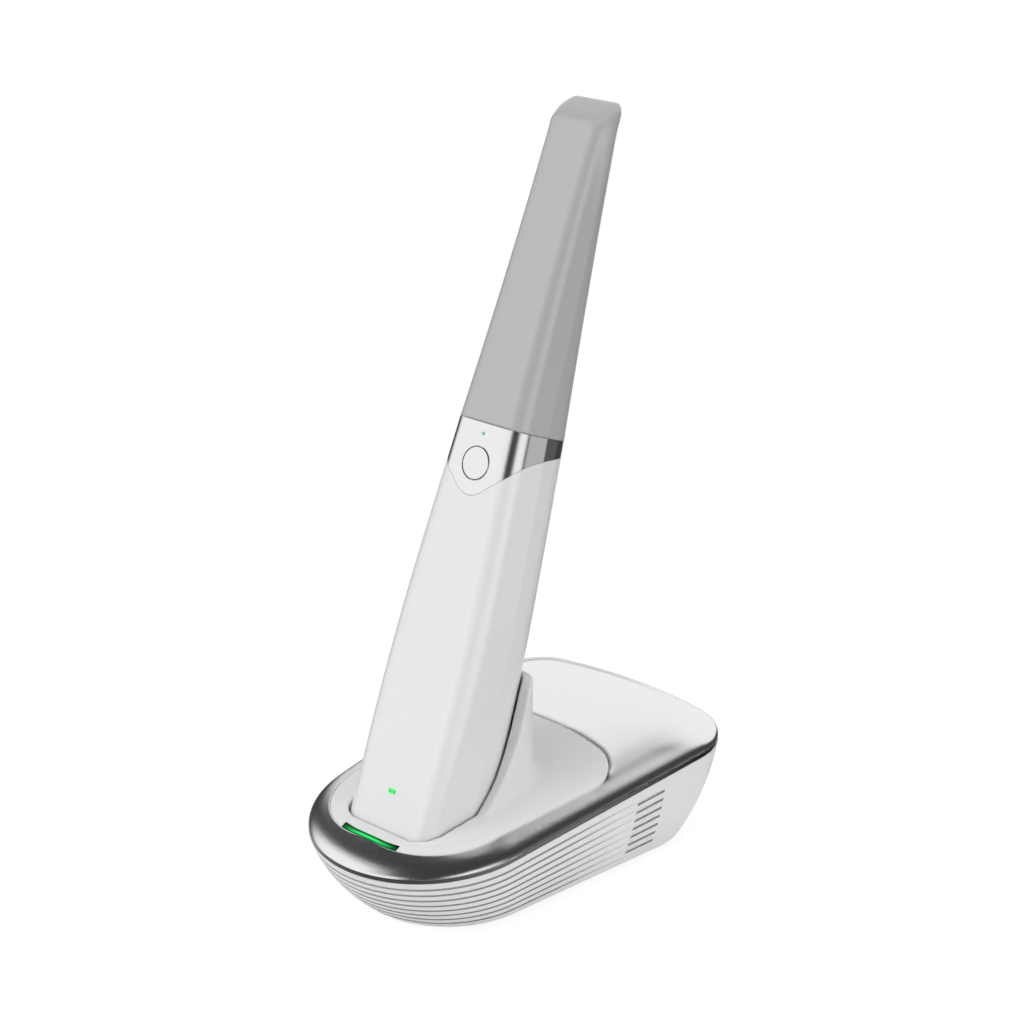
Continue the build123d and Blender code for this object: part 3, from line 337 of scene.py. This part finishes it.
def lightMaterial(name, look):
    material, nodes, links, shader = newMaterial(name)
    coord, split = nodes.new("ShaderNodeTexCoord"), nodes.new("ShaderNodeSeparateXYZ")
    cloud, ramp = nodes.new("ShaderNodeTexNoise"), nodes.new("ShaderNodeValToRGB")
    away, mottle = mathNode(nodes, "ABSOLUTE"), mathNode(nodes, "MULTIPLY_ADD", guide["cloudShare"])
    fall = rangeNode(nodes, 0.0, look["reach"])
    cloud.inputs["Scale"].default_value = guide["cloudScale"]
    ramp.color_ramp.elements[0].color = (*look["middle"], 1)
    ramp.color_ramp.elements[1].color = (*look["ends"], 1)
    ramp.color_ramp.elements[0].position = look["hold"]
    links.new(coord.outputs["Object"], split.inputs[0])
    links.new(coord.outputs["Object"], cloud.inputs["Vector"])
    links.new(split.outputs["X"], away.inputs[0])
    links.new(away.outputs[0], fall.inputs["Value"])
    links.new(cloud.outputs["Fac"], mottle.inputs[0])
    links.new(fall.outputs["Result"], mottle.inputs[2])
    links.new(mottle.outputs[0], ramp.inputs["Fac"])
    glow = ramp.outputs["Color"]
    # painted shade from the recess walls dims the light bar's long edges
    if "core" in look:
        dim = blendNode(nodes, "MULTIPLY")
        links.new(glow, dim.inputs["A"])
        links.new(stripShadeBand(nodes, links, split, away, look["core"]), dim.inputs["B"])
        glow = dim.outputs["Result"]
    links.new(glow, shader.inputs["Emission Color"])
    links.new(glow, shader.inputs["Base Color"])
    shader.inputs["Emission Strength"].default_value = look["strength"]
    shader.inputs["Roughness"].default_value = guide["gloss"]
    shader.inputs["Specular IOR Level"].default_value = guide["shine"]
    return material


materials = {name: skinMaterial(name, look) for name, look in looks.items()}
materials["circuit_board"] = boardMaterial()
materials["clear_glass"] = glassMaterial()
materials["ribbed_housing"] = ribbedMaterial()
slotOf = {row["node"]: row["material_slot"] for row in frame["record"]["subparts"]}
for name, node in frame["nodes"].items():
    if name in lightLooks:
        finish = lightMaterial(name, lightLooks[name])
    elif name == "lower_housing":
        finish = materials["ribbed_housing"]
    else:
        finish = materials[slotOf[name]]
    node.data.materials.clear()
    node.data.materials.append(finish)
print("finishes set:", len(materials) + len(lightLooks))

# ways of working a mesh that the three new pieces share
mould = {"weld": 1e-6, "pull": 0.5}


def nodeMesh(name):
    bm = bmesh.new()
    bm.from_mesh(frame["nodes"][name].data)
    bmesh.ops.remove_doubles(bm, verts=bm.verts, dist=mould["weld"])
    return bm


def soften(bm, verts, rounds, onlyHeight=False):
    for _ in range(rounds):
        bmesh.ops.smooth_vert(bm, verts=verts, factor=mould["pull"], use_axis_x=not onlyHeight,
                              use_axis_y=not onlyHeight, use_axis_z=True)


def addPiece(name, bm, body, node):
    mesh = bpy.data.meshes.new(name)
    bm.to_mesh(mesh)
    bm.free()
    mesh.shade_smooth()
    mesh.materials.append(materials[slotOf[node]])
    piece = bpy.data.objects.new(name, mesh)
    scene.collection.objects.link(piece)
    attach(piece, body)
    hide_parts(node)
    return piece


# plan outlines of the cradle, each a belt round a few circles: x, y and radius in metres
cradlePlan = {"centre": (0.0, -0.022), "around": 288, "looks": 720, "least": 1e-4, "bulgeEase": 0.93,
              "swingShare": 0.9, "arcSteps": 12}


def planEgg(front, rear, width, nose, corner, bulge, noseFlat):
    cornerX, cornerY = width - corner, rear - corner - bulge
    middle = corner + cradlePlan["bulgeEase"] * (cornerX ** 2 + bulge ** 2) / (2 * bulge)
    swing = math.asin(cradlePlan["swingShare"] * cornerX / (middle - corner))
    circles = []
    for side in (-1, 1):
        circles.append((side * noseFlat, front + nose, nose))
        circles.append((side * cornerX, cornerY, corner))
    steps = cradlePlan["arcSteps"]
    for step in range(-steps, steps + 1):
        turn = swing * step / steps
        circles.append((middle * math.sin(turn), rear - middle + middle * math.cos(turn), 0.0))
    return circles


def planReach(circles):
    # distance from the centre to the outline, all the way round
    cx, cy = cradlePlan["centre"]
    sides = []
    for step in range(cradlePlan["looks"]):
        turn = 2 * math.pi * step / cradlePlan["looks"]
        ux, uy = math.cos(turn), math.sin(turn)
        sides.append((ux, uy, max(x * ux + y * uy + r for x, y, r in circles) - cx * ux - cy * uy))
    reach = []
    for step in range(cradlePlan["around"]):
        turn = 2 * math.pi * step / cradlePlan["around"]
        ex, ey = math.cos(turn), math.sin(turn)
        reach.append(min(gap / (ex * ux + ey * uy) for ux, uy, gap in sides
                         if ex * ux + ey * uy > cradlePlan["least"]))
    return reach


# satin cover: rings from the rim in to the insert's seam, laid on the CAD crown and smoothed
cover = {"rings": 30, "crowd": 1.9, "rimFront": -0.0798, "rimRear": 0.0798, "rimHalf": 0.0515, "nose": 0.043,
         "corner": 0.022, "bulge": 0.0028, "seamFront": -0.069, "seamRear": 0.0255, "seamHalf": 0.0409,
         "seamNose": 0.03, "seamFlat": 0.0055, "seamCorner": 0.016, "rimLow": 0.0283, "rimHigh": 0.0395,
         "lookFrom": 0.2, "insideRim": 0.9999, "pastSeam": 1.0004, "softRounds": 14, "softFrom": 0.004,
         "skirt": 0.0022, "footX": 0.96, "footY": 0.975, "edge": 0.00025, "edgeFrom": 0.9, "edgeSteps": 2,
         "edgeRound": 0.5}
rimReach = planReach(planEgg(cover["rimFront"], cover["rimRear"], cover["rimHalf"], cover["nose"],
                             cover["corner"], cover["bulge"], 0.0))
seamReach = planReach(planEgg(cover["seamFront"], cover["seamRear"], cover["seamHalf"], cover["seamNose"],
                              cover["seamCorner"], cover["bulge"], cover["seamFlat"]))


def rimHeight(y):
    share = (y - cover["rimFront"]) / (cover["rimRear"] - cover["rimFront"])
    return cover["rimLow"] + (cover["rimHigh"] - cover["rimLow"]) * share


def ringShare(ring):
    return (ring / cover["rings"]) ** cover["crowd"]


def crownHeight(crown, ring, x, y):
    # looked for a hair inside the rim, or past the seam, where the crown is sure to be met
    cx, cy = cradlePlan["centre"]
    stretch = cover["pastSeam"] if ring == cover["rings"] else cover["insideRim"]
    start = Vector((cx + (x - cx) * stretch, cy + (y - cy) * stretch, cover["lookFrom"]))
    hit = crown.ray_cast(start, Vector((0, 0, -1)))[0]
    return max(hit.z, rimHeight(y)) if hit and ring else rimHeight(y)


def onlyVerts(geometry):
    return [part for part in geometry if isinstance(part, bmesh.types.BMVert)]


def makeCover():
    source = nodeMesh("top_cover")
    crown = BVHTree.FromBMesh(source)
    source.free()
    bm = bmesh.new()
    cx, cy = cradlePlan["centre"]
    count = cradlePlan["around"]
    loops = []
    for ring in range(cover["rings"] + 1):
        made = bmesh.ops.create_circle(bm, segments=count, radius=1.0)["verts"]
        for index, vert in enumerate(made):
            turn = 2 * math.pi * index / count
            reach = rimReach[index] + (seamReach[index] - rimReach[index]) * ringShare(ring)
            x, y = cx + reach * math.cos(turn), cy + reach * math.sin(turn)
            vert.co = (x, y, crownHeight(crown, ring, x, y))
        loops.append(made)
    for outer, inner in zip(loops, loops[1:]):
        rings = [set(outer), set(inner)]
        near = {edge for ring in rings for vert in ring for edge in vert.link_edges}
        pair = [edge for edge in near if any(set(edge.verts) <= ring for ring in rings)]
        bmesh.ops.bridge_loops(bm, edges=pair)
    soft = []
    for ring, loop in enumerate(loops[1:-1], start=1):
        soft += [vert for index, vert in enumerate(loop)
                 if (rimReach[index] - seamReach[index]) * ringShare(ring) > cover["softFrom"]]
    soften(bm, soft, cover["softRounds"], onlyHeight=True)
    # turned-down edge at the seam and a foot under the rim
    rimEdges = [edge for edge in bm.edges if edge.is_boundary and set(edge.verts) <= set(loops[0])]
    seamEdges = [edge for edge in bm.edges if edge.is_boundary and set(edge.verts) <= set(loops[-1])]
    seamFoot = bmesh.ops.extrude_edge_only(bm, edges=seamEdges)["geom"]
    bmesh.ops.translate(bm, verts=onlyVerts(seamFoot), vec=(0, 0, -cover["skirt"]))
    rimFoot = bmesh.ops.extrude_edge_only(bm, edges=rimEdges)["geom"]
    for vert in onlyVerts(rimFoot):
        vert.co.x *= cover["footX"]
        vert.co.y *= cover["footY"]
    bmesh.ops.recalc_face_normals(bm, faces=bm.faces)
    bevelEdges = [edge for edge in bm.edges
                  if len(edge.link_faces) == 2 and edge.calc_face_angle(0) > cover["edgeFrom"]]
    bmesh.ops.bevel(bm, geom=bevelEdges, offset=cover["edge"], offset_type="OFFSET", affect="EDGES",
                    segments=cover["edgeSteps"], profile=cover["edgeRound"], material=-1, clamp_overlap=True)
    return addPiece("satinCover", bm, "scanner", "top_cover")


coverPiece = makeCover()
print("cover made:", len(coverPiece.data.polygons), "faces")


# even copy of a CAD shape, fine enough for its edges to be eased
def mouldedCopy(name, node, voxel, keepAbove=None):
    bm = nodeMesh(node)
    if keepAbove is not None:
        bmesh.ops.bisect_plane(bm, geom=bm.verts[:] + bm.edges[:] + bm.faces[:], plane_co=(0, 0, keepAbove),
                               plane_no=(0, 0, 1), clear_inner=True)
        bmesh.ops.holes_fill(bm, edges=[edge for edge in bm.edges if edge.is_boundary])
    rough = bpy.data.meshes.new(name + "Rough")
    bm.to_mesh(rough)
    bm.free()
    holder = bpy.data.objects.new(name + "Rough", rough)
    scene.collection.objects.link(holder)
    remesh = holder.modifiers.new("evenMesh", "REMESH")
    remesh.mode = "VOXEL"
    remesh.voxel_size = voxel
    bpy.context.view_layer.update()
    even = bpy.data.meshes.new_from_object(holder.evaluated_get(bpy.context.evaluated_depsgraph_get()))
    bpy.data.objects.remove(holder)
    bpy.data.meshes.remove(rough)
    bm = bmesh.new()
    bm.from_mesh(even)
    bpy.data.meshes.remove(even)
    return bm


# tip sleeve: edges eased above its foot, and its end rounded further
tip = {"voxel": 0.00055, "softRounds": 5, "endRounds": 14, "endFrom": 0.2555, "footTo": 0.1713}


def makeTip():
    bm = mouldedCopy("tipSleeve", "tip_sleeve", tip["voxel"])
    soften(bm, [vert for vert in bm.verts if vert.co.z > tip["footTo"]], tip["softRounds"])
    soften(bm, [vert for vert in bm.verts if vert.co.z > tip["endFrom"]], tip["endRounds"])
    return addPiece("tipSleeve", bm, "tip", "tip_sleeve")


tipPiece = makeTip()
print("tip made:", len(tipPiece.data.polygons), "faces")

# cradle insert: edges eased inside its seam, hollow corners at the back rest's foot filled
insert = {"voxel": 0.0005, "keepAbove": 0.0275, "softRounds": 4, "seamKeep": 0.0012, "filletRounds": 40,
          "filletPull": 0.6, "filletHalf": 0.034, "filletFront": -0.05, "filletRear": 0.012,
          "filletLow": 0.033, "filletHigh": 0.052}


def seamGap(co):
    # how far a point lies inside the insert's seam, along the line from the plan's centre
    cx, cy = cradlePlan["centre"]
    turn = math.atan2(co.y - cy, co.x - cx) % (2 * math.pi)
    index = int(turn / (2 * math.pi) * cradlePlan["around"]) % cradlePlan["around"]
    return seamReach[index] - math.hypot(co.x - cx, co.y - cy)


def makeInsert():
    bm = mouldedCopy("cradleInsert", "cradle_insert", insert["voxel"], insert["keepAbove"])
    inner = [vert for vert in bm.verts if seamGap(vert.co) > insert["seamKeep"]]
    soften(bm, inner, insert["softRounds"])
    bm.normal_update()
    foot = [vert for vert in inner if abs(vert.co.x) < insert["filletHalf"]
            and insert["filletFront"] < vert.co.y < insert["filletRear"]
            and insert["filletLow"] < vert.co.z < insert["filletHigh"]]
    for _ in range(insert["filletRounds"]):
        moves = []
        for vert in foot:
            around = [edge.other_vert(vert).co for edge in vert.link_edges]
            pull = sum(around, Vector()) / len(around) - vert.co
            rise = pull.dot(vert.normal)
            if rise > 0:
                moves.append((vert, vert.normal * (insert["filletPull"] * rise)))
        for vert, move in moves:
            vert.co += move
        bm.normal_update()
    return addPiece("cradleInsert", bm, "scanner", "cradle_insert")


insertPiece = makeInsert()
print("insert made:", len(insertPiece.data.polygons), "faces")

# studio floor: keeps the shadow near the object and runs out to plain white, and to dark in reflections
floorSet = {"half": 0.3, "white": 0.87, "tint": 0.2, "albedo": 0.85, "seenFrom": 0.13, "seenTo": 0.25,
            "seenFar": 1.0, "glossFrom": 0.085, "glossTo": 0.15, "glossFar": 0.08}


def makeFloor():
    bm = bmesh.new()
    bmesh.ops.create_grid(bm, x_segments=2, y_segments=2, size=floorSet["half"])
    mesh = bpy.data.meshes.new("studioFloor")
    bm.to_mesh(mesh)
    bm.free()
    floor = bpy.data.objects.new("studioFloor", mesh)
    scene.collection.objects.link(floor)
    material = bpy.data.materials.new("studioFloor")
    material.use_nodes = True
    nodes, links = material.node_tree.nodes, material.node_tree.links
    nodes.clear()
    output, path = nodes.new("ShaderNodeOutputMaterial"), nodes.new("ShaderNodeLightPath")
    lit, soft = nodes.new("ShaderNodeBsdfDiffuse"), nodes.new("ShaderNodeBsdfDiffuse")
    glow, plain = nodes.new("ShaderNodeEmission"), nodes.new("ShaderNodeEmission")
    fade, seen = nodes.new("ShaderNodeMixShader"), nodes.new("ShaderNodeMixShader")
    both, coord = nodes.new("ShaderNodeAddShader"), nodes.new("ShaderNodeTexCoord")
    direct, anyDirect = mathNode(nodes, "MAXIMUM"), mathNode(nodes, "MAXIMUM")
    length = nodes.new("ShaderNodeVectorMath")
    length.operation = "LENGTH"
    edge = rangeNode(nodes, floorSet["glossFrom"], floorSet["glossTo"], ease="SMOOTHSTEP")
    for socket, label in [(edge.inputs["From Min"], "From"), (edge.inputs["From Max"], "To"),
                          (plain.inputs["Strength"], "Far")]:
        choose = rangeNode(nodes, 0.0, 1.0, floorSet["gloss" + label], floorSet["seen" + label])
        links.new(path.outputs["Is Camera Ray"], choose.inputs["Value"])
        links.new(choose.outputs["Result"], socket)
    lit.inputs["Color"].default_value = (*grey(floorSet["albedo"]), 1)
    soft.inputs["Color"].default_value = (*grey(floorSet["tint"]), 1)
    glow.inputs["Strength"].default_value = floorSet["white"]
    links.new(coord.outputs["Object"], length.inputs[0])
    links.new(length.outputs["Value"], edge.inputs["Value"])
    links.new(soft.outputs[0], both.inputs[0])
    links.new(glow.outputs[0], both.inputs[1])
    links.new(edge.outputs["Result"], fade.inputs["Fac"])
    links.new(both.outputs[0], fade.inputs[1])
    links.new(plain.outputs[0], fade.inputs[2])
    links.new(path.outputs["Is Camera Ray"], direct.inputs[0])
    links.new(path.outputs["Is Glossy Ray"], direct.inputs[1])
    links.new(direct.outputs[0], anyDirect.inputs[0])
    links.new(path.outputs["Is Transmission Ray"], anyDirect.inputs[1])
    links.new(anyDirect.outputs[0], seen.inputs["Fac"])
    links.new(lit.outputs[0], seen.inputs[1])
    links.new(fade.outputs[0], seen.inputs[2])
    links.new(seen.outputs[0], output.inputs["Surface"])
    mesh.materials.append(material)


makeFloor()
print("floor laid")

# backdrop: white to the camera, plain fill for matt surfaces, bright panels in the dark for the reflections
panelSet = {"strength": 0.94, "dark": 0.045, "fill": 0.32,
            "panels": [{"facing": (-0.45, 0.82, 0.35), "from": 0.82, "to": 0.88, "level": 1.0},
                       {"facing": (-0.05, 0.85, 0.52), "from": 0.86, "to": 0.925, "level": 1.0},
                       {"facing": (-0.55, 0.83, -0.1), "from": 0.9, "to": 0.96, "level": 1.0},
                       {"facing": (-0.72, -0.62, 0.32), "from": 0.62, "to": 0.92, "level": 1.0},
                       {"facing": (-0.1, -0.98, 0.17), "from": 0.88, "to": 0.97, "level": 1.0},
                       {"facing": (0.97, -0.2, -0.1), "from": 0.8, "to": 0.95, "level": 1.0},
                       {"facing": (0.75, 0.6, -0.28), "from": 0.962, "to": 0.992, "level": 0.6}]}


def makeWorld():
    world = bpy.data.worlds.new("studioWorld")
    scene.world = world
    world.use_nodes = True
    nodes, links = world.node_tree.nodes, world.node_tree.links
    nodes.clear()
    output, path = nodes.new("ShaderNodeOutputWorld"), nodes.new("ShaderNodeLightPath")
    coord = nodes.new("ShaderNodeTexCoord")
    mirrored, fill, white = [nodes.new("ShaderNodeBackground") for _ in range(3)]
    glossPick, cameraPick = nodes.new("ShaderNodeMixShader"), nodes.new("ShaderNodeMixShader")
    mirrored.inputs["Strength"].default_value = panelSet["strength"]
    fill.inputs["Color"].default_value = (*grey(panelSet["fill"]), 1)
    white.inputs["Color"].default_value = (*grey(1.0), 1)
    light = mirrored.inputs["Color"]
    for spot in panelSet["panels"]:
        facing, lighter = nodes.new("ShaderNodeVectorMath"), blendNode(nodes, "LIGHTEN")
        panel = rangeNode(nodes, spot["from"], spot["to"], 0.0, spot["level"], "SMOOTHSTEP")
        facing.operation = "DOT_PRODUCT"
        facing.inputs[1].default_value = spot["facing"]
        lighter.inputs["A"].default_value = (*grey(panelSet["dark"]), 1)
        links.new(coord.outputs["Generated"], facing.inputs[0])
        links.new(facing.outputs["Value"], panel.inputs["Value"])
        links.new(panel.outputs["Result"], lighter.inputs["B"])
        links.new(lighter.outputs["Result"], light)
        light = lighter.inputs["A"]
    links.new(path.outputs["Is Glossy Ray"], glossPick.inputs["Fac"])
    links.new(fill.outputs[0], glossPick.inputs[1])
    links.new(mirrored.outputs[0], glossPick.inputs[2])
    links.new(path.outputs["Is Camera Ray"], cameraPick.inputs["Fac"])
    links.new(glossPick.outputs[0], cameraPick.inputs[1])
    links.new(white.outputs[0], cameraPick.inputs[2])
    links.new(cameraPick.outputs[0], output.inputs["Surface"])


makeWorld()
print("backdrop hung")

# soft boxes for the matt surfaces, kept out of the reflections
boxAim = Vector((0, 0, 0.1))
softBoxes = [
    {"name": "frontBox", "place": (-0.6, -1.2, 0.65), "size": 1.0, "power": 11.6},
    {"name": "topBox", "place": (0.0, 0.15, 1.2), "size": 1.4, "power": 7.0},
    {"name": "sideBox", "place": (1.15, -0.05, 0.3), "size": 0.7, "power": 5.5},
]
for box in softBoxes:
    lampData = bpy.data.lights.new(box["name"], "AREA")
    lampData.energy = box["power"]
    lampData.size = box["size"]
    lamp = bpy.data.objects.new(box["name"], lampData)
    lamp.location = box["place"]
    lamp.rotation_euler = (boxAim - lamp.location).to_track_quat("-Z", "Y").to_euler()
    lamp.visible_glossy = False
    lamp.visible_camera = False
    scene.collection.objects.link(lamp)
print("studio lit")
